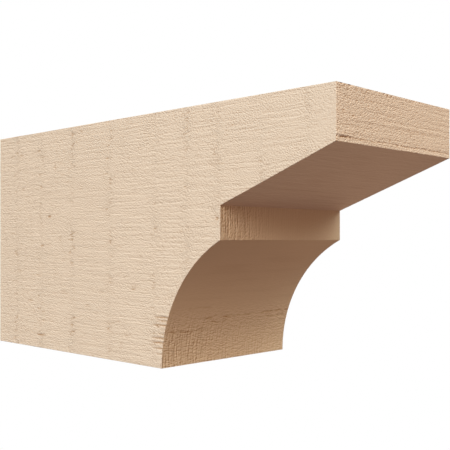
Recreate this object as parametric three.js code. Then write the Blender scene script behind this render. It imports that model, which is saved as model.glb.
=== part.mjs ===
// Rafter tail: a short, square-edged length of rough-sawn timber that carries on the line of a rafter
// under an eave. Its outer end is sawn to a tapered nose, a small upright step and a hollow cove.
//
// Millimetres, +Z up. The nose points along -Y and the plain end that meets the wall faces +Y.
// The origin lies in the plane of the underside, at the middle of the length and of the width.
import * as THREE from "three";

// Driving dimensions. The timber is cut to whole and half inches.
const INCH = 25.4;
const WIDTH = 6 * INCH;
const HEIGHT = 8 * INCH;
const LENGTH = 16 * INCH;
const NOSE_FACE_HEIGHT = 1.5 * INCH; // the upright face at the tip of the nose
const NOSE_REACH = 4 * INCH; // from the tip of the nose back to the step
const STEP_DEPTH = 3 * INCH; // from the top edge down to where the nose's underside meets the step
const STEP_HEIGHT = 1 * INCH; // the upright face of the step
const COVE_REACH = 2.5 * INCH; // from the step back to the foot of the cove
const COVE_FLATS = 64; // flats along the cove, each within 0.01 mm of the true arc

// Finish: a flat, warm tan with no shine.
const TAN = 0xdec8ae;
const TAN_ROUGHNESS = 0.9;

// The cove is one arc that is upright at its foot, so its centre is level with the underside.
const COVE_DROP = HEIGHT - STEP_DEPTH - STEP_HEIGHT;
const COVE_RADIUS = (COVE_REACH ** 2 + COVE_DROP ** 2) / (2 * COVE_REACH);

// The side outline, drawn with the run of the timber (Y) to the right and its height (Z) upwards.
function sideOutline() {
  const noseTip = -LENGTH / 2;
  const wallEnd = LENGTH / 2;
  const step = noseTip + NOSE_REACH;
  const coveFoot = step + COVE_REACH;
  const coveCentre = coveFoot - COVE_RADIUS;
  const coveTopAngle = Math.asin(COVE_DROP / COVE_RADIUS);

  const outline = new THREE.Shape();
  outline.moveTo(wallEnd, 0);
  outline.lineTo(wallEnd, HEIGHT);
  outline.lineTo(noseTip, HEIGHT);
  outline.lineTo(noseTip, HEIGHT - NOSE_FACE_HEIGHT);
  outline.lineTo(step, HEIGHT - STEP_DEPTH);
  outline.lineTo(step, COVE_DROP);
  outline.absarc(coveCentre, 0, COVE_RADIUS, coveTopAngle, 0, true);
  outline.closePath();
  return outline;
}

// The timber is the outline carried straight across the width, turned so that the extrusion runs along X.
function timber() {
  const geometry = new THREE.ExtrudeGeometry(sideOutline(), {
    depth: WIDTH,
    bevelEnabled: false,
    curveSegments: COVE_FLATS / 2, // an arc gets two flats for each of these
  });
  const material = new THREE.MeshStandardMaterial({ color: TAN, roughness: TAN_ROUGHNESS, metalness: 0 });
  const mesh = new THREE.Mesh(geometry, material);
  mesh.name = "rafter_tail";
  mesh.rotation.set(Math.PI / 2, Math.PI / 2, 0);
  mesh.position.x = -WIDTH / 2;
  return mesh;
}

const rafterTail = new THREE.Group();
rafterTail.add(timber());

export default rafterTail;
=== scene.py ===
import math

import bmesh
import bpy
from bpy.props import FloatProperty, FloatVectorProperty, IntProperty, PointerProperty
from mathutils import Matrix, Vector, noise


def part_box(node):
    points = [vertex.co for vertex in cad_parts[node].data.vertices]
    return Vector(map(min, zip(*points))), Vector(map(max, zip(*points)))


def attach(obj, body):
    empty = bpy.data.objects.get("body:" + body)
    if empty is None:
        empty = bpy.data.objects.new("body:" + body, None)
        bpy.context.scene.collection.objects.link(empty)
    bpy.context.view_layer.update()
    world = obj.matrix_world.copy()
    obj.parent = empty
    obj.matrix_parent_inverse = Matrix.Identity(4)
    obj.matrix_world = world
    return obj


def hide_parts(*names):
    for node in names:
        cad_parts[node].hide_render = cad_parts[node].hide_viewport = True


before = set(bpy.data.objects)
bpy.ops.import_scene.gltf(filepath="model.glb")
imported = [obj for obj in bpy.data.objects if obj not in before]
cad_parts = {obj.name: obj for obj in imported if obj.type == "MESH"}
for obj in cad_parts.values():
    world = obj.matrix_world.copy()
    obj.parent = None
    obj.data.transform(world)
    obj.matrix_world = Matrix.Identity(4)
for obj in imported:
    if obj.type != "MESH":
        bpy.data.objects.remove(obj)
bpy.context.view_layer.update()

bl_info = {
    "name": "Rafter Tail",
    "version": (1, 0, 0),
    "blender": (4, 5, 0),
    "location": "View3D > Sidebar > Rafter Tail",
    "description": "Dresses a rafter tail as rough-sawn timber and sets a plain studio around it",
    "category": "Add Mesh",
}

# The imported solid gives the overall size; everything is in metres, +Z up, with the nose along -Y.
NODE = "rafter_tail"
BODY = "root"
LOW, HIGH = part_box(NODE)
WIDTH, LENGTH, HEIGHT = HIGH - LOW
NOSE_TIP = LOW.y
WALL_END = HIGH.y
INCH = 0.0254
MM = 0.001

# Upright rows of saw marks on the sides, by their places along the block from its middle, in mm.
SAW_ROWS = (-180, -140, -98, -66, -30, 27, 81, 130, 172)

# How far sideways the pattern of the saw lines moves from one bay between two rows to the next.
BAY_SHIFT = 1.6 * MM

# Depths of what the saw left on the sides: its lines, and the chips, pits and tears that it pulled out.
LINE_DEPTH = 0.11 * MM
CHIP_DEPTH = 0.5 * MM
PIT_DEPTH = 0.25 * MM
TEAR_DEPTH = 0.2 * MM

# A hollow of this depth gets the darkest painted shade.
DARK_DEPTH = 0.6 * MM

# Marks torn in the near side, each with its place along and up the block, length, height and depth, in mm.
# The first ones are the gouges at the foot of the cove.
NEAR_MARKS = (
    (-45, 40.5, 34, 1.1, 1.1),
    (-44, 37.8, 24, 1.1, 0.7),
    (-43, 34.3, 32, 1.1, 1.1),
    (-43, 30.6, 16, 1, 0.5),
    (-42, 27.2, 18, 1, 0.6),
    (-41, 23.8, 30, 1.1, 1.1),
    (-40, 20.2, 30, 1.1, 1.1),
    (-39, 15.8, 22, 1.1, 0.7),
    (-39, 11.4, 16, 1, 0.5),
    (130, 12.5, 18, 1.3, 0.7),
    (80.5, 25.3, 7, 1.3, 0.5),
    (79, 20, 8, 1.3, 0.5),
    (126, 34.5, 7, 1.3, 0.45),
    (126.5, 26.5, 8, 1.2, 0.4),
    (172, 25.5, 5, 1.6, 0.45),
    (93, 54.5, 12, 2.6, 0.2),
    (93, 84, 12, 2, 0.15),
    (116, 123.5, 6, 2.2, 0.7),
    (133, 186, 5, 1.6, 0.5),
    (130, 152, 5, 1.6, 0.5),
    (161, 151, 5, 1.8, 0.4),
    (163, 184, 5, 1.8, 0.4),
    (67, 198, 4, 1.6, 0.5),
    (30, 171, 7, 1.3, 0.5),
    (128, 96.5, 5, 1.8, 0.5),
    (190, 102.5, 3, 1.3, 0.35),
    (-4, 61.5, 5, 1.6, 0.5),
    (-6, 64, 14, 1.4, 0.25),
    (38, 57, 6, 1.3, 0.3),
    (148, 44, 10, 1.4, 0.4),
    (58, 44.5, 5, 1.6, 0.4),
    (29, 31, 11, 2, 0.2),
    (4, 23, 10, 1.8, 0.25),
    (16, 33.5, 6, 1.3, 0.3),
    (135, 68.5, 8, 1.3, 0.3),
    (168, 72, 18, 1.1, 0.2),
    (-98.7, 117.5, 3, 1.8, 0.8),
)

# Broken level cracks in the nose, each with its place across and up the block, length, height and depth,
# in mm.
NOSE_MARKS = (
    (26, 180.3, 80, 1.3, 0.2),
    (-40, 195, 80, 1.3, 0.16),
)

# Cracks along the cove, each with where it starts and ends across the block, its height at the ends, how
# far it bows upwards and its depth, in mm.
COVE_CRACKS = (
    (-36, -2, 35.3, 2.6, 0.4),
    (-27, -4, 34.2, -1.8, 0.3),
    (-10, 42, 37, 0.3, 0.25),
    (34, 82, 37.3, 0.5, 0.4),
    (40, 80, 33.8, -0.6, 0.25),
    (-76, -26, 28.6, -1.5, 0.3),
    (-60, -28, 46, 0.5, 0.15),
)

# Painted light and shade on the fibres: flanks that look this way, up and towards the main lamps, are
# painted pale, and those that look away are painted darker. The tilts are where a flank is wholly pale and
# where it is as dark as flanks get.
PAINTED_LIGHT_SIDE = Vector((-0.5, -0.5, 0.7))
PALE_TILT = 0.12
DARK_TILT = -0.3
PAINTED_FLANK_SHADE = 0.7
# How much of what the points hold reaches the colour: painted shade in the hollows, and the darker tone on
# the step and towards the cove's foot.
HOLLOW_SHADE_AND_STAIN = 0.5

# The part of the noise's range in which a fibre rises from its foot to its flat top.
FIBRE_FOOT = 0.36
FIBRE_TOP = 0.56

# The part of that range in which the painted shade in a dip between the fibres deepens from nothing to its
# darkest.
PIT_RIM = 0.32
PIT_FLOOR = 0.26

# Soft lamps: name, turn and rise in degrees, strength, colour and spread in degrees. The two low ones stand
# for light that a pale floor throws back up.
LAMPS = (
    ("near_side_lamp", -90, 34, 3.01, "E1F2FF", 50),
    ("camera_side_lamp", -60, 30, 1.7, "FFE1BF", 50),
    ("nose_lamp", 27, 48, 2.25, "FBFFFB", 50),
    ("far_side_lamp", 145, 5, 2.1, "FFFFFF", 40),
    ("low_far_lamp", 120, -30, 1.24, "FFDEC1", 50),
    ("low_nose_lamp", 0, -35, 0.6, "FFCCBB", 60),
)

# A point this close to a cut is taken to lie on it, and an edge that turns by more than this is sharp.
CUT_GAP = 0.01 * MM
SHARP_ANGLE = math.radians(20)

# A flat stain scatters light widely and hardly mirrors it.
STAIN_ROUGHNESS = 0.92
STAIN_SHINE = 0.2

# The floor reaches well past what the camera sees.
FLOOR_RADIUS = 30

# The way each face of the block is finished, which is also its place in the list of materials.
SIDE, END, SLOPE, STEP, COVE = range(5)


def linear(code):
    """Turns an sRGB hex colour into the linear colour that shaders and colour properties hold."""
    channels = [int(code[i:i + 2], 16) / 255 for i in (0, 2, 4)]
    return [c / 12.92 if c <= 0.04045 else ((c + 0.055) / 1.055) ** 2.4 for c in channels]


class TimberSettings(bpy.types.PropertyGroup):
    """The block's cut outline, its surface and its colours."""

    nose_face: FloatProperty(
        name="Nose face", description="Height of the upright face at the tip of the nose",
        default=1.5 * INCH, unit="LENGTH")
    nose_reach: FloatProperty(
        name="Nose reach", description="From the tip of the nose back to the step",
        default=4 * INCH, unit="LENGTH")
    step_depth: FloatProperty(
        name="Step depth", description="From the top edge down to the head of the step",
        default=3 * INCH, unit="LENGTH")
    step_height: FloatProperty(
        name="Step height", description="Height of the step's upright face",
        default=1 * INCH, unit="LENGTH")
    cove_reach: FloatProperty(
        name="Cove reach", description="From the step back to the foot of the cove",
        default=2.5 * INCH, unit="LENGTH")
    cove_flats: IntProperty(
        name="Cove flats", description="Flats along the arc of the cove", default=64)
    arris: FloatProperty(
        name="Arris", description="Width of the rounding on the sawn edges",
        default=0.2 * MM, unit="LENGTH")
    slice_height: FloatProperty(
        name="Slice height", description="Height of the slices that carry the relief",
        default=0.88 * MM, unit="LENGTH")
    slice_width: FloatProperty(
        name="Slice width", description="Width of the slices across the nose and the step",
        default=0.9 * MM, unit="LENGTH")
    tan: FloatVectorProperty(
        name="Tan", description="The flat tan of the finish, on the raised fibres",
        default=linear("EAD8C2"), subtype="COLOR")
    cut_tan: FloatVectorProperty(
        name="Cut tan", description="The tan on the step and the cove, which are cut across the grain",
        default=linear("EAD5B6"), subtype="COLOR")
    # Umber is mixed into the tan for the painted shade on the fibres' far flanks, in the dips between them
    # and in the torn hollows, and for the darker tone on the step and towards the cove's foot.
    umber: FloatVectorProperty(
        name="Umber", description="The stain that gathers where the surface dips or is torn",
        default=linear("96601C"), subtype="COLOR")


class StudioSettings(bpy.types.PropertyGroup):
    """The camera, the light and the floor."""

    distance: FloatProperty(
        name="Distance", description="From the camera to the middle of the block",
        default=27.19 * INCH, unit="LENGTH")
    turn: FloatProperty(
        name="Turn", description="Angle of the camera round the block, from straight ahead of the nose",
        default=math.radians(-45), subtype="ANGLE")
    lens: FloatProperty(
        name="Lens", description="Focal length in millimetres on a 36 mm sensor", default=61.78)
    shift_x: FloatProperty(
        name="Shift across", description="Sideways shift of the picture, in picture widths", default=0.0652)
    shift_y: FloatProperty(
        name="Shift up", description="Upward shift of the picture, in picture widths", default=0.0334)
    ambient: FloatVectorProperty(
        name="Ambient", description="Light from all round", default=linear("383838"), subtype="COLOR")
    floor: FloatVectorProperty(
        name="Floor", description="Colour of the floor and of what is seen beyond it",
        default=linear("FFFFFF"), subtype="COLOR")


def cove_radius(timber):
    """Radius of the cove, an arc that is upright at its foot, with its centre level with the underside."""
    drop = HEIGHT - timber.step_depth - timber.step_height
    return (timber.cove_reach ** 2 + drop ** 2) / (2 * timber.cove_reach)


def outline_block(bm, timber):
    """Draws the side outline and carries it across the width."""
    step = NOSE_TIP + timber.nose_reach
    step_foot = HEIGHT - timber.step_depth - timber.step_height
    corners = [
        (WALL_END, 0),
        (WALL_END, HEIGHT),
        (NOSE_TIP, HEIGHT),
        (NOSE_TIP, HEIGHT - timber.nose_face),
        (step, HEIGHT - timber.step_depth),
        (step, step_foot),
    ]
    line = [bm.verts.new((LOW.x, y, z)) for y, z in corners]
    for start, end in zip(line, line[1:]):
        bm.edges.new((start, end))
    radius = cove_radius(timber)
    centre = Vector((LOW.x, step + timber.cove_reach - radius, 0))
    arc = bmesh.ops.spin(
        bm, geom=[line[-1]], cent=centre, axis=(1, 0, 0), dvec=(0, 0, 0),
        angle=-math.asin(step_foot / radius), steps=timber.cove_flats)
    foot = next(item for item in arc["geom_last"] if isinstance(item, bmesh.types.BMVert))
    bm.edges.new((foot, line[0]))
    bmesh.ops.contextual_create(bm, geom=bm.edges[:])
    side = bmesh.ops.extrude_face_region(bm, geom=bm.faces[:])
    moved = [item for item in side["geom"] if isinstance(item, bmesh.types.BMVert)]
    bmesh.ops.translate(bm, vec=(WIDTH, 0, 0), verts=moved)
    bmesh.ops.recalc_face_normals(bm, faces=bm.faces[:])


def finish_of(face, timber):
    """Which finish a face has, from the way it looks and where it lies."""
    height = face.calc_center_median().z
    if abs(face.normal.x) > 0.5 or abs(face.normal.z) > 0.99:
        return SIDE
    if face.normal.y > 0.5 or height > HEIGHT - timber.nose_face:
        return END
    if height > HEIGHT - timber.step_depth:
        return SLOPE
    return STEP if height > HEIGHT - timber.step_depth - timber.step_height else COVE


def ease_edges(bm, timber):
    """Takes the sharpness off the outer edges, and leaves the inner corner under the nose as it was sawn."""
    edges = [edge for edge in bm.edges if edge.is_convex and edge.calc_face_angle() > SHARP_ANGLE]
    eased = bmesh.ops.bevel(
        bm, geom=edges, offset=timber.arris, offset_type="OFFSET", affect="EDGES", segments=1,
        profile=0.5, material=-1, clamp_overlap=True)
    for face in bm.faces:
        face.smooth = True
    for face in eased["faces"]:
        face.smooth = False
    for edge in bm.edges:
        edge.smooth = edge.calc_face_angle() < SHARP_ANGLE


def slice_faces(bm, axis, cuts):
    """Cuts faces by planes square to an axis. Each cut is a place along the axis and a test for the faces
    that it parts, and the cuts are made in order, so that each one looks only at the faces beyond it."""
    waiting = bm.faces[:]
    for place, wanted in cuts:
        chosen = [face for face in waiting if wanted(face)]
        spared = [face for face in waiting if not wanted(face)]
        edges = {edge for face in chosen for edge in face.edges}
        cut = bmesh.ops.bisect_plane(
            bm, geom=[*edges, *chosen], dist=CUT_GAP, plane_co=axis * place, plane_no=axis)
        parted = [item for item in cut["geom"] if isinstance(item, bmesh.types.BMFace)]
        waiting = [
            face for face in parted + spared
            if max(vert.co.dot(axis) for vert in face.verts) > place + CUT_GAP
        ]


def even_places(start, end, pitch):
    """Places spread evenly between two ends, about a pitch apart."""
    count = round((end - start) / pitch)
    return [start + (end - start) * i / count for i in range(1, count)]


def lengthwise_places():
    """Places of the slices along the block, which crowd together at the rows of saw marks."""
    wide, narrow, reach = 2.3 * MM, 1.2 * MM, 4 * MM
    places = []
    place = NOSE_TIP + narrow
    while place < WALL_END - narrow:
        places.append(place)
        gap = min(abs(place - row * MM) for row in SAW_ROWS)
        place += narrow if gap < reach else wide
    return places


def slice_block(bm, timber):
    """Slices the faces finely enough to carry the relief. The near side, the nose, the step and the foot of
    the cove take every cut, the far side, the slope and the rest of the cove every other one, and the
    others every fourth."""

    def share(face):
        if abs(face.normal.x) > 0.3:
            return 1 if face.normal.x < 0 else 2
        if face.normal.y > 0.3 or abs(face.normal.z) > 0.96:
            return 4
        return 1 if face.normal.y < -0.91 else 2

    def takes(number):
        return lambda face: number % share(face) == 0

    def takes_across(number):
        return lambda face: abs(face.normal.x) < 0.3 and number % share(face) == 0

    rises = even_places(0, HEIGHT, timber.slice_height)
    level_cuts = [(place, takes(i)) for i, place in enumerate(rises)]
    nose_foot = HEIGHT - timber.nose_face
    for place in even_places(nose_foot + 1.5 * MM, nose_foot + 6 * MM, 0.5 * timber.slice_height):
        level_cuts.append((place, lambda face: face.normal.y < -0.91))
    slice_faces(bm, Vector((0, 0, 1)), sorted(level_cuts, key=lambda cut: cut[0]))
    crossings = even_places(LOW.x, HIGH.x, timber.slice_width)
    slice_faces(bm, Vector((1, 0, 0)), [(place, takes_across(i)) for i, place in enumerate(crossings)])
    runs = lengthwise_places()
    slice_faces(bm, Vector((0, 1, 0)), [(place, takes(i)) for i, place in enumerate(runs)])


def wave(u, v, length, height, seed):
    """Smooth noise drawn out to features of a given length and height."""
    return noise.noise(Vector((u / length, v / height, seed)))


def ramp(value, start, end):
    """Rises smoothly from 0 at the start to 1 at the end."""
    t = min(max((value - start) / (end - start), 0), 1)
    return t * t * (3 - 2 * t)


def bump_over(offset, half_width):
    """A rounded bump, 1 in the middle and fading out about a half width away."""
    return math.exp(-((offset / half_width) ** 2))


def row_place(y, z, seed):
    """Place along the block as the rows of saw marks see it, because they are ragged and sway on their way
    up."""
    sway = 2.5 * MM * wave(0, z, 1, 28 * MM, seed + 7)
    ragged = 7 * MM * wave(0, z, 1, 3.4 * MM, seed + 8)
    return y + sway + ragged


def bay_at(place):
    """How many rows of saw marks lie before a place along the block."""
    return sum(1 for row in SAW_ROWS if row * MM < place)


def saw_lines(y, z, bay, seed):
    """Level lines that the saw drew along the grain, which start afresh in every bay between two rows."""
    v = z + 0.4 * MM * wave(y, z, 60 * MM, 40 * MM, seed + 0.5)
    return LINE_DEPTH * wave(y, v, 50 * MM, 1.9 * MM, seed + 3.1 * bay)


def painted_hollow_shade(torn):
    """How much shade is painted into a hollow of a given depth."""
    return min(torn / DARK_DEPTH, 1)


def placed_marks(u, z, marks):
    """Depth of the listed marks, each of which runs out towards its ends."""
    depth = 0
    for along, up, length, height, deep in marks:
        from_end = 1 - ((u - along * MM) / (0.5 * length * MM)) ** 2
        if from_end > 0:
            depth += deep * MM * from_end * bump_over(z - up * MM, 0.5 * height * MM)
    return depth


def sawn_side(y, z, seed, marks):
    """A long side: level saw lines, upright rows of torn chips where the lines break off, a few pits and
    short tears in between, and the listed marks. The lines fade at the rows and at the tip of the
    nose, and the chips are shallower towards the nose. The fibres are rougher in patches and towards the
    wall, and lean on either side of a row."""
    place = row_place(y, z, seed)
    row = min(SAW_ROWS, key=lambda row: abs(row * MM - place))
    gap = place - row * MM
    shown = ramp(wave(row, z, 1.7, 26 * MM, seed + 9), -0.5, 0.2)
    band = shown * bump_over(gap, 5 * MM)
    tip = 1 - ramp(y, NOSE_TIP + 14 * MM, NOSE_TIP + 32 * MM)
    lined = 1 - 0.7 * max(band, tip)
    patch = wave(y, z, 14 * MM, 24 * MM, seed + 27)
    rough = 0.71 + 0.38 * y / WALL_END + 0.35 * band + 0.3 * patch
    relief = lined * saw_lines(y, z, bay_at(place), seed)
    relief += 0.12 * MM * wave(y, z, 60 * MM, 30 * MM, seed + 19)
    slope = 1.5 * wave(row, z, 1.9, 15 * MM, seed + 21)
    chip = ramp(wave(row, z - slope * gap, 1.3, 1.9 * MM, seed + 11), 0.12, 0.4)
    gap -= 4 * MM * wave(row, z, 2.3, 2.6 * MM, seed + 15)
    chip *= 0.3 + 0.7 * ramp(y, NOSE_TIP + 90 * MM, NOSE_TIP + 170 * MM)
    torn = CHIP_DEPTH * shown * chip * bump_over(gap, 1.7 * MM)
    torn += PIT_DEPTH * ramp(wave(y, z, 3 * MM, 1.7 * MM, seed + 13), 0.65, 0.9)
    torn += TEAR_DEPTH * ramp(wave(y, z, 8 * MM, 1.6 * MM, seed + 17), 0.4, 0.75)
    torn += placed_marks(y, z + 0.5 * MM * wave(y, z, 9 * MM, 6 * MM, seed + 23), marks)
    lean = 3.5 * MM * shown * wave(row, z, 1.9, 15 * MM, seed + 25) * bump_over(gap, 4 * MM)
    return relief - torn, painted_hollow_shade(torn), lined, rough, lean


def sawn_nose(x, z, timber):
    """The nose: level bands under short strokes that slant and are roughest at the near end, torn specks
    along the top edge, and broken level cracks, the deepest along the foot with a raised rim at the near
    end."""
    across = ramp(x, LOW.x, HIGH.x)
    rough = 1.25 - 0.5 * across
    run = (x - LOW.x) / WIDTH
    v = z - 0.4 * WIDTH * run * (1 - run / 2)
    relief = 0.13 * MM * wave(x, z, 70 * MM, 3 * MM, 31)
    relief += rough * 0.12 * MM * wave(x, v, 3 * MM, 1.8 * MM, 33)
    torn = rough * 0.3 * MM * ramp(wave(x, v, 2.6 * MM, 1.7 * MM, 37), 0.3, 0.7)
    wobble = 0.5 * MM * wave(x, 0, 5 * MM, 1, 40) + 0.4 * MM * wave(x, 0, 2.2 * MM, 1, 42)
    broken = ramp(wave(x, 0, 4 * MM, 1, 41), -0.6, 0.1)
    torn += broken * placed_marks(x, z - wobble, NOSE_MARKS)
    crack = HEIGHT - timber.nose_face + (3.3 + 0.7 * wave(x, 0, 22 * MM, 1, 39)) * MM
    rim = 1 - ramp(x, LOW.x + 8 * MM, LOW.x + 22 * MM)
    torn += (0.35 + 0.4 * rim) * MM * broken * bump_over(z - crack - wobble, 0.5 * MM)
    rim *= 0.6 + 0.8 * wave(x, z, 3 * MM, 1.6 * MM, 43)
    relief += 0.7 * MM * rim * bump_over(z - crack - 1.9 * MM, 1 * MM)
    speck = ramp(wave(x, z, 2.6 * MM, 2 * MM, 45), 0.05, 0.4)
    torn += (0.6 - 0.45 * across) * MM * speck * bump_over(HEIGHT - z, 3 * MM)
    return relief - torn, painted_hollow_shade(torn), 1, rough, 0


def sawn_step(x, z):
    """The step: fine upright lines left by the saw, clearest at the near end."""
    clear = 1.2 - 1.05 * ramp(x, LOW.x + 10 * MM, LOW.x + 65 * MM)
    return 0.07 * MM * clear * wave(x, z, 2 * MM, 30 * MM, 41), 0.12, clear, clear, 0


def cut_cove(x, z):
    """The cove: smooth above, with faint level streaks, and coarser and darker towards its foot, where wavy
    level cracks and finer level lines cross the upright lines of the saw."""
    low = 1 - ramp(z, 22 * MM, 52 * MM)
    relief = 0.05 * MM * wave(x, z, 60 * MM, 4.5 * MM, 53)
    relief += 0.13 * MM * low * wave(x, z, 18 * MM, 2.4 * MM, 55)
    torn = 0.05 * MM * (1 - low) * ramp(wave(x, z, 60 * MM, 3.5 * MM, 59), 0, 0.6)
    torn += 0.12 * MM * low * ramp(wave(x, z, 3 * MM, 2 * MM, 57), 0.5, 0.85)
    wobble = 1.3 * MM * wave(x, 0, 6 * MM, 1, 51)
    broken = ramp(wave(x, z, 5 * MM, 3 * MM, 52), -0.5, 0.2)
    for start, end, height, bow, deep in COVE_CRACKS:
        from_end = 1 - ((2 * x / MM - start - end) / (end - start)) ** 2
        if from_end > 0:
            path = (height + bow * from_end) * MM + wobble
            torn += deep * MM * broken * min(2 * from_end, 1) * bump_over(z - path, 0.7 * MM)
    foot_stain = 0.26 * (1 - ramp(z, 15 * MM, 100 * MM))
    clear = 0.1 + low * (1.1 - 0.4 * ramp(x, LOW.x, HIGH.x))
    return relief - torn, foot_stain + painted_hollow_shade(torn), clear, clear, 0


def cut_slope(x, y):
    """The nose's underside: nearly smooth, with faint streaks across the width."""
    streak = 0.08 * MM * ramp(wave(x, y, 45 * MM, 4 * MM, 61), 0, 0.6)
    return -streak, painted_hollow_shade(streak), 1, 1, 0


def sawn_flat(x, y, seed):
    """The top or the underside: saw lines along the grain."""
    return saw_lines(y, x, 0, seed) + 0.1 * MM * wave(y, x, 80 * MM, 40 * MM, seed + 5), 0, 1, 1, 0


def sawn_end(x, z):
    """The wall end: slanting strokes of a cross-cut saw."""
    return 0.08 * MM * wave(x, z + 0.12 * x, 40 * MM, 4 * MM, 81), 0, 1, 1, 0


def outline_surface(point, normal, timber):
    """The surface of the face that a point has on the outline, between the two sides."""
    step = NOSE_TIP + timber.nose_reach
    if normal.y > 0.7:
        return sawn_end(point.x, point.z)
    if normal.z > 0.7:
        return sawn_flat(point.x, point.y, 71)
    if normal.z < -0.97:
        return sawn_flat(point.x, point.y, 75)
    if point.z > HEIGHT - timber.nose_face:
        return sawn_nose(point.x, point.z, timber)
    if point.y < step - 0.5 * timber.arris:
        return cut_slope(point.x, point.y)
    if point.z > HEIGHT - timber.step_depth - timber.step_height:
        return sawn_step(point.x, point.z)
    return cut_cove(point.x, point.z)


def carve_relief(bm, timber):
    """Moves every point along its normal by the relief of its face. The functions above give that relief,
    how dark the point's colour is painted (painted shade in its hollows, a darker tone all over the step and
    towards the cove's foot), how clear its lines and its fibres are, and how far up a slant moves them. The
    points keep the rest for the materials to read, with a sideways shift for each bay between
    two rows of saw marks, so that the lines start afresh there."""
    # The stain layer holds painted shade for the hollows, and the darker tone on the step and towards the
    # cove's foot.
    layers = [bm.verts.layers.float.new(name) for name in ("stain", "lined", "rough")]
    shift = bm.verts.layers.float_vector.new("shift")
    bm.normal_update()
    moves = []
    for vert in bm.verts:
        side_share = vert.normal.x ** 2
        surface = Vector((0, 0, 0, 0, 0))
        bay = 0
        if side_share > 0.01:
            near = vert.normal.x < 0
            seed = 3 if near else 101
            marks = NEAR_MARKS if near else ()
            surface += side_share * Vector(sawn_side(vert.co.y, vert.co.z, seed, marks))
            bay = bay_at(row_place(vert.co.y, vert.co.z, seed))
        if side_share < 0.99:
            surface += (1 - side_share) * Vector(outline_surface(vert.co, vert.normal, timber))
        relief, *kept, lean = surface
        for layer, value in zip(layers, kept):
            vert[layer] = value
        vert[shift] = (bay * BAY_SHIFT, 0, lean)
        moves.append((vert, vert.normal * relief))
    for vert, move in moves:
        vert.co += move


def add_node(tree, kind, inputs=None, **settings):
    """Adds a node, gives it its settings, and sets or links its inputs."""
    node = tree.nodes.new(kind)
    for name, value in settings.items():
        setattr(node, name, value)
    for name, value in (inputs or {}).items():
        if isinstance(value, bpy.types.NodeSocket):
            tree.links.new(value, node.inputs[name])
        else:
            node.inputs[name].default_value = value
    return node


def sawn_softwood(name, timber, tan, pit_shade, lines, line_depth, fibres, fibre_depth):
    """Sawn softwood under a flat tan stain: no shine, saw lines and short raised fibres that catch the
    light, with painted light and shade on their flanks, paler towards the main lamps and darker away from
    them, painted shade in the torn hollows and in the deepest dips between the fibres, as much in the dips
    as the pit shade says, and the darker tone that the points hold for the step and the cove's foot. The
    lines and fibres are given by the size of one along each axis and by their depth, and drawn coarser than
    real ones, which are too fine to show."""
    material = bpy.data.materials.new(name)
    material.use_nodes = True
    tree = material.node_tree
    shader = tree.nodes["Principled BSDF"]
    place = add_node(tree, "ShaderNodeTexCoord").outputs["Object"]
    shift = add_node(tree, "ShaderNodeAttribute", attribute_name="shift").outputs["Vector"]
    moved = add_node(tree, "ShaderNodeVectorMath", {0: place, 1: shift}, operation="ADD").outputs["Vector"]
    heights = []
    for sizes, depth, clear in ((lines, line_depth, "lined"), (fibres, fibre_depth, "rough")):
        scaled = add_node(
            tree, "ShaderNodeMapping", {"Vector": moved, "Scale": [1 / size for size in sizes]})
        pattern = add_node(
            tree, "ShaderNodeTexNoise",
            {"Vector": scaled.outputs["Vector"], "Scale": 1.0, "Detail": 1.0, "Roughness": 0.5})
        level = add_node(
            tree, "ShaderNodeMapRange",
            {"Value": pattern.outputs["Fac"], "From Min": FIBRE_FOOT, "From Max": FIBRE_TOP,
             "To Min": -depth, "To Max": 0.0},
            interpolation_type="SMOOTHSTEP")
        share = add_node(tree, "ShaderNodeAttribute", attribute_name=clear)
        shared = add_node(
            tree, "ShaderNodeMath", {0: level.outputs["Result"], 1: share.outputs["Fac"]},
            operation="MULTIPLY")
        heights.append(shared.outputs["Value"])
    height = add_node(tree, "ShaderNodeMath", dict(enumerate(heights)), operation="ADD").outputs["Value"]
    bump = add_node(tree, "ShaderNodeBump", {"Height": height, "Strength": 1.0, "Distance": 1.0})
    tree.links.new(bump.outputs["Normal"], shader.inputs["Normal"])

    # Painted light and shade on the fibres: flanks tilted towards the main lamps are painted pale, those
    # tilted away darker.
    flat = add_node(tree, "ShaderNodeNewGeometry").outputs["Normal"]
    tilt = add_node(
        tree, "ShaderNodeVectorMath", {0: bump.outputs["Normal"], 1: flat}, operation="SUBTRACT")
    toward_light = add_node(
        tree, "ShaderNodeVectorMath", {0: tilt.outputs["Vector"], 1: PAINTED_LIGHT_SIDE}, operation="DOT_PRODUCT")
    flank_shade = add_node(
        tree, "ShaderNodeMapRange",
        {"Value": toward_light.outputs["Value"], "From Min": PALE_TILT, "From Max": DARK_TILT,
         "To Min": 0.0, "To Max": PAINTED_FLANK_SHADE})
    # Painted shade in the hollows, with the darker tone on the step and towards the cove's foot, as the
    # points hold it.
    point_shade_and_stain = add_node(tree, "ShaderNodeAttribute", attribute_name="stain")
    # Painted shade in the deepest dips between the fibres.
    pits = add_node(
        tree, "ShaderNodeMapRange",
        {"Value": pattern.outputs["Fac"], "From Min": PIT_RIM, "From Max": PIT_FLOOR,
         "To Min": 0.0, "To Max": pit_shade})
    fibre_shade = add_node(
        tree, "ShaderNodeMath",
        {0: pits.outputs["Result"], 1: share.outputs["Fac"], 2: flank_shade.outputs["Result"]},
        operation="MULTIPLY_ADD")
    # All the darkening as a share of umber: painted shade on the flanks, in the dips and in the hollows,
    # with the darker tone on the step and towards the cove's foot.
    stain = add_node(
        tree, "ShaderNodeMath",
        {0: point_shade_and_stain.outputs["Fac"], 1: HOLLOW_SHADE_AND_STAIN, 2: fibre_shade.outputs["Value"]},
        operation="MULTIPLY_ADD", use_clamp=True)
    colour = add_node(
        tree, "ShaderNodeMix",
        {"Factor": stain.outputs["Value"], 6: (*tan, 1), 7: (*timber.umber, 1)}, data_type="RGBA")
    tree.links.new(colour.outputs[2], shader.inputs["Base Color"])
    shader.inputs["Roughness"].default_value = STAIN_ROUGHNESS
    shader.inputs["Specular IOR Level"].default_value = STAIN_SHINE
    return material


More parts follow.
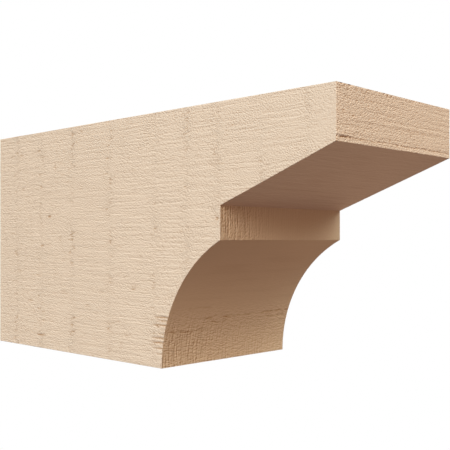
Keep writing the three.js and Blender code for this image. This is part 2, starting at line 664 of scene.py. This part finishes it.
def block_materials(timber):
    """The material of each finish, in the order of their numbers."""
    return [
        sawn_softwood(
            "sawn_softwood_side", timber, timber.tan, pit_shade=0.5,
            lines=(2 * MM, 60 * MM, 2 * MM), line_depth=0.062 * MM,
            fibres=(0.9 * MM, 1.25 * MM, 1.08 * MM), fibre_depth=0.2 * MM),
        sawn_softwood(
            "sawn_softwood_end", timber, timber.tan, pit_shade=0.5,
            lines=(70 * MM, 70 * MM, 2.6 * MM), line_depth=0.055 * MM,
            fibres=(1.8 * MM, 1.8 * MM, 0.95 * MM), fibre_depth=0.12 * MM),
        sawn_softwood(
            "sawn_softwood_slope", timber, timber.tan, pit_shade=0.0,
            lines=(40 * MM, 4 * MM, 4 * MM), line_depth=0.065 * MM,
            fibres=(3 * MM, 3 * MM, 3 * MM), fibre_depth=0.05 * MM),
        sawn_softwood(
            "sawn_softwood_step", timber, timber.cut_tan, pit_shade=0.0,
            lines=(1.9 * MM, 20 * MM, 20 * MM), line_depth=0.2 * MM,
            fibres=(1.6 * MM, 2 * MM, 2 * MM), fibre_depth=0.1 * MM),
        sawn_softwood(
            "sawn_softwood_cove", timber, timber.cut_tan, pit_shade=0.0,
            lines=(1.8 * MM, 20 * MM, 20 * MM), line_depth=0.18 * MM,
            fibres=(4 * MM, 1.4 * MM, 1.4 * MM), fibre_depth=0.12 * MM),
    ]


def heading(turn, rise=0):
    """The way from the block at a turn from straight ahead of the nose and a rise above level."""
    level = math.cos(rise)
    return Vector((math.sin(turn) * level, -math.cos(turn) * level, math.sin(rise)))


def pale_floor(scene, colour):
    """Makes a floor that glows evenly and that only the camera sees, so that no shadow falls on it and it
    throws no light on the block."""
    bm = bmesh.new()
    bmesh.ops.create_circle(bm, cap_ends=True, segments=64, radius=FLOOR_RADIUS)
    mesh = bpy.data.meshes.new("floor")
    bm.to_mesh(mesh)
    bm.free()
    floor = bpy.data.objects.new("floor", mesh)
    scene.collection.objects.link(floor)
    paint = bpy.data.materials.new("pale_floor")
    paint.use_nodes = True
    shader = paint.node_tree.nodes["Principled BSDF"]
    shader.inputs["Base Color"].default_value = (0, 0, 0, 1)
    shader.inputs["Specular IOR Level"].default_value = 0
    shader.inputs["Emission Color"].default_value = (*colour, 1)
    shader.inputs["Emission Strength"].default_value = 1
    paint.cycles.emission_sampling = "NONE"
    mesh.materials.append(paint)
    floor.visible_diffuse = False
    floor.visible_glossy = False
    floor.visible_shadow = False
    return floor


class RAFTERTAIL_OT_timber(bpy.types.Operator):
    """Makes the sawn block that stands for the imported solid"""

    bl_idname = "rafter_tail.timber"
    bl_label = "Sawn timber"

    def execute(self, context):
        timber = context.scene.rafter_tail_timber
        bm = bmesh.new()
        outline_block(bm, timber)
        ease_edges(bm, timber)
        for face in bm.faces:
            face.material_index = finish_of(face, timber)
        slice_block(bm, timber)
        carve_relief(bm, timber)
        if not all(edge.is_manifold for edge in bm.edges):
            raise RuntimeError("The sawn block has an open seam")
        mesh = bpy.data.meshes.new("sawn_timber")
        bm.to_mesh(mesh)
        bm.free()
        for material in block_materials(timber):
            mesh.materials.append(material)
        block = bpy.data.objects.new("sawn_timber", mesh)
        context.scene.collection.objects.link(block)
        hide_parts(NODE)
        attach(block, BODY)
        return {"FINISHED"}


class RAFTERTAIL_OT_studio(bpy.types.Operator):
    """Sets the camera, the soft light and the pale floor"""

    bl_idname = "rafter_tail.studio"
    bl_label = "Studio"

    def execute(self, context):
        studio = context.scene.rafter_tail_studio
        scene = context.scene
        scene.view_settings.view_transform = "Standard"
        middle = (LOW + HIGH) / 2
        back = heading(studio.turn)
        lens = bpy.data.cameras.new("camera")
        lens.lens = studio.lens
        lens.shift_x = studio.shift_x
        lens.shift_y = studio.shift_y
        camera = bpy.data.objects.new("camera", lens)
        camera.location = middle + back * studio.distance
        camera.rotation_euler = (-back).to_track_quat("-Z", "Y").to_euler()
        scene.collection.objects.link(camera)
        scene.camera = camera

        world = bpy.data.worlds.new("studio_light")
        scene.world = world
        world.use_nodes = True
        tree = world.node_tree
        ambient = tree.nodes["Background"]
        ambient.inputs["Color"].default_value = (*studio.ambient, 1)
        backdrop = add_node(tree, "ShaderNodeBackground", {"Color": (*studio.floor, 1)})
        ray = add_node(tree, "ShaderNodeLightPath")
        seen = add_node(
            tree, "ShaderNodeMixShader",
            {0: ray.outputs["Is Camera Ray"], 1: ambient.outputs[0], 2: backdrop.outputs[0]})
        tree.links.new(seen.outputs[0], tree.nodes["World Output"].inputs["Surface"])

        for name, turn, rise, strength, colour, spread in LAMPS:
            lamp = bpy.data.lights.new(name, "SUN")
            lamp.energy = strength
            lamp.color = linear(colour)
            lamp.angle = math.radians(spread)
            light = bpy.data.objects.new(name, lamp)
            towards = heading(math.radians(turn), math.radians(rise))
            light.rotation_euler = towards.to_track_quat("Z", "Y").to_euler()
            light.location = middle + towards
            scene.collection.objects.link(light)

        pale_floor(scene, studio.floor)
        return {"FINISHED"}


class RAFTERTAIL_PT_panel(bpy.types.Panel):
    """Lists the steps that build the rafter tail, with its settings"""

    bl_idname = "RAFTERTAIL_PT_panel"
    bl_label = "Rafter Tail"
    bl_space_type = "VIEW_3D"
    bl_region_type = "UI"
    bl_category = "Rafter Tail"

    def draw(self, context):
        """Shows each step's button above its settings."""
        for step, settings in (
            (RAFTERTAIL_OT_studio, context.scene.rafter_tail_studio),
            (RAFTERTAIL_OT_timber, context.scene.rafter_tail_timber),
        ):
            self.layout.operator(step.bl_idname)
            for name in settings.__annotations__:
                self.layout.prop(settings, name)


CLASSES = (TimberSettings, StudioSettings, RAFTERTAIL_OT_studio, RAFTERTAIL_OT_timber, RAFTERTAIL_PT_panel)


def register():
    """Makes the classes known and hangs the settings on the scene."""
    for kind in CLASSES:
        bpy.utils.register_class(kind)
    bpy.types.Scene.rafter_tail_timber = PointerProperty(type=TimberSettings)
    bpy.types.Scene.rafter_tail_studio = PointerProperty(type=StudioSettings)


def unregister():
    """Takes away what register added."""
    del bpy.types.Scene.rafter_tail_studio
    del bpy.types.Scene.rafter_tail_timber
    for kind in reversed(CLASSES):
        bpy.utils.unregister_class(kind)


def main():
    """Builds the studio and the block."""
    register()
    bpy.ops.rafter_tail.studio()
    bpy.ops.rafter_tail.timber()


if __name__ == "__main__":
    main()
